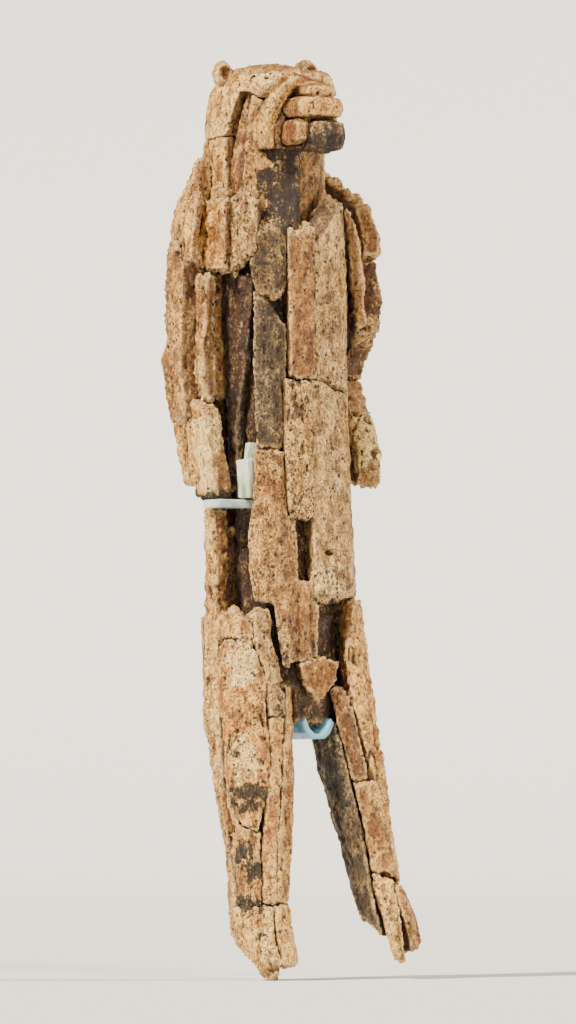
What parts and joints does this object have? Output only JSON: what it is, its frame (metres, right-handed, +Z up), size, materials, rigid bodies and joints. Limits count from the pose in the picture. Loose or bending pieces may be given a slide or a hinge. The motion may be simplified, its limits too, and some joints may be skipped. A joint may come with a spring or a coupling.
{
  "type": "lion-headed ivory figure",
  "caption": "Standing lion-headed figure carved in tusk ivory, put together again from bonded fragments, with small clear supports at the crotch and forearm",
  "frame": {"origin": "level with the lowest toe, below the middle of the figure's box", "axes": "+Z up along the figure's height, the figure faces -Y, its right side is -X"},
  "size_m": [0.0724, 0.0644, 0.3125],
  "materials": {
    "ivory_light": "aged cream ivory, dry and finely cracked",
    "ivory_tan": "aged beige ivory, dry, with the grain raised",
    "ivory_speckled": "aged ivory with black mineral specks",
    "ivory_russet": "reddish ivory from inside the tusk, matte",
    "ivory_brown": "brown stained ivory, matte",
    "ivory_dark": "dark brown ivory in the recesses, matte",
    "filler_white": "frosted white block, satin",
    "acrylic_clear": "clear bent sheet, glossy"
  },
  "bodies": {
    "root": {"crotch_saddle": "acrylic_clear", "forearm_shelf": "acrylic_clear", "nose_pad": "ivory_light", "upper_lip": "ivory_light", "jaw_front": "ivory_tan", "jaw_side": "ivory_tan", "cheek_band": "ivory_tan", "nose_bridge": "ivory_tan", "mane_strip": "ivory_russet", "head_crown": "ivory_light", "throat_right": "ivory_speckled", "throat_left": "ivory_tan", "mane_right": "ivory_light", "mane_left": "ivory_light", "muzzle_core": "ivory_brown", "chest_left": "ivory_tan", "chest_middle": "ivory_russet", "belly_middle": "ivory_speckled", "belly_left": "ivory_tan", "chest_right_chip": "ivory_speckled", "flank_right": "ivory_speckled", "abdomen_right": "ivory_brown", "pubic_plate": "ivory_russet", "shoulder_tab_inner": "ivory_speckled", "shoulder_tab_outer": "ivory_light", "side_lamella_right": "ivory_light", "inner_lamella_right": "ivory_dark", "hand_block": "filler_white", "shoulder_right_front": "ivory_tan", "shoulder_right_outer": "ivory_light", "upper_arm_right": "ivory_light", "arm_right_front_slat": "ivory_tan", "forearm_right_front": "ivory_light", "forearm_right_back": "ivory_russet", "shoulder_left": "ivory_light", "arm_left_slat": "ivory_light", "upper_arm_left": "ivory_brown", "forearm_left": "ivory_light", "thigh_right_cap": "ivory_light", "thigh_right_front": "ivory_light", "thigh_right_inner": "ivory_tan", "leg_right_outer_slat": "ivory_light", "calf_right_middle": "ivory_tan", "calf_right_inner": "ivory_light", "shin_right_front": "ivory_brown", "foot_right_main": "ivory_light", "foot_right_toe": "ivory_light", "leg_right_back": "ivory_tan", "leg_left_inner_slat": "ivory_tan", "thigh_left_middle": "ivory_brown", "shin_left_middle": "ivory_tan", "leg_left_outer_slat": "ivory_light", "foot_left_main": "ivory_light", "foot_left_outer": "ivory_light", "leg_left_back": "ivory_brown", "back_right": "ivory_tan", "back_left": "ivory_light", "flank_left": "ivory_tan", "hip_back": "ivory_tan", "torso_core": "ivory_dark"}
  },
  "joints": []
}
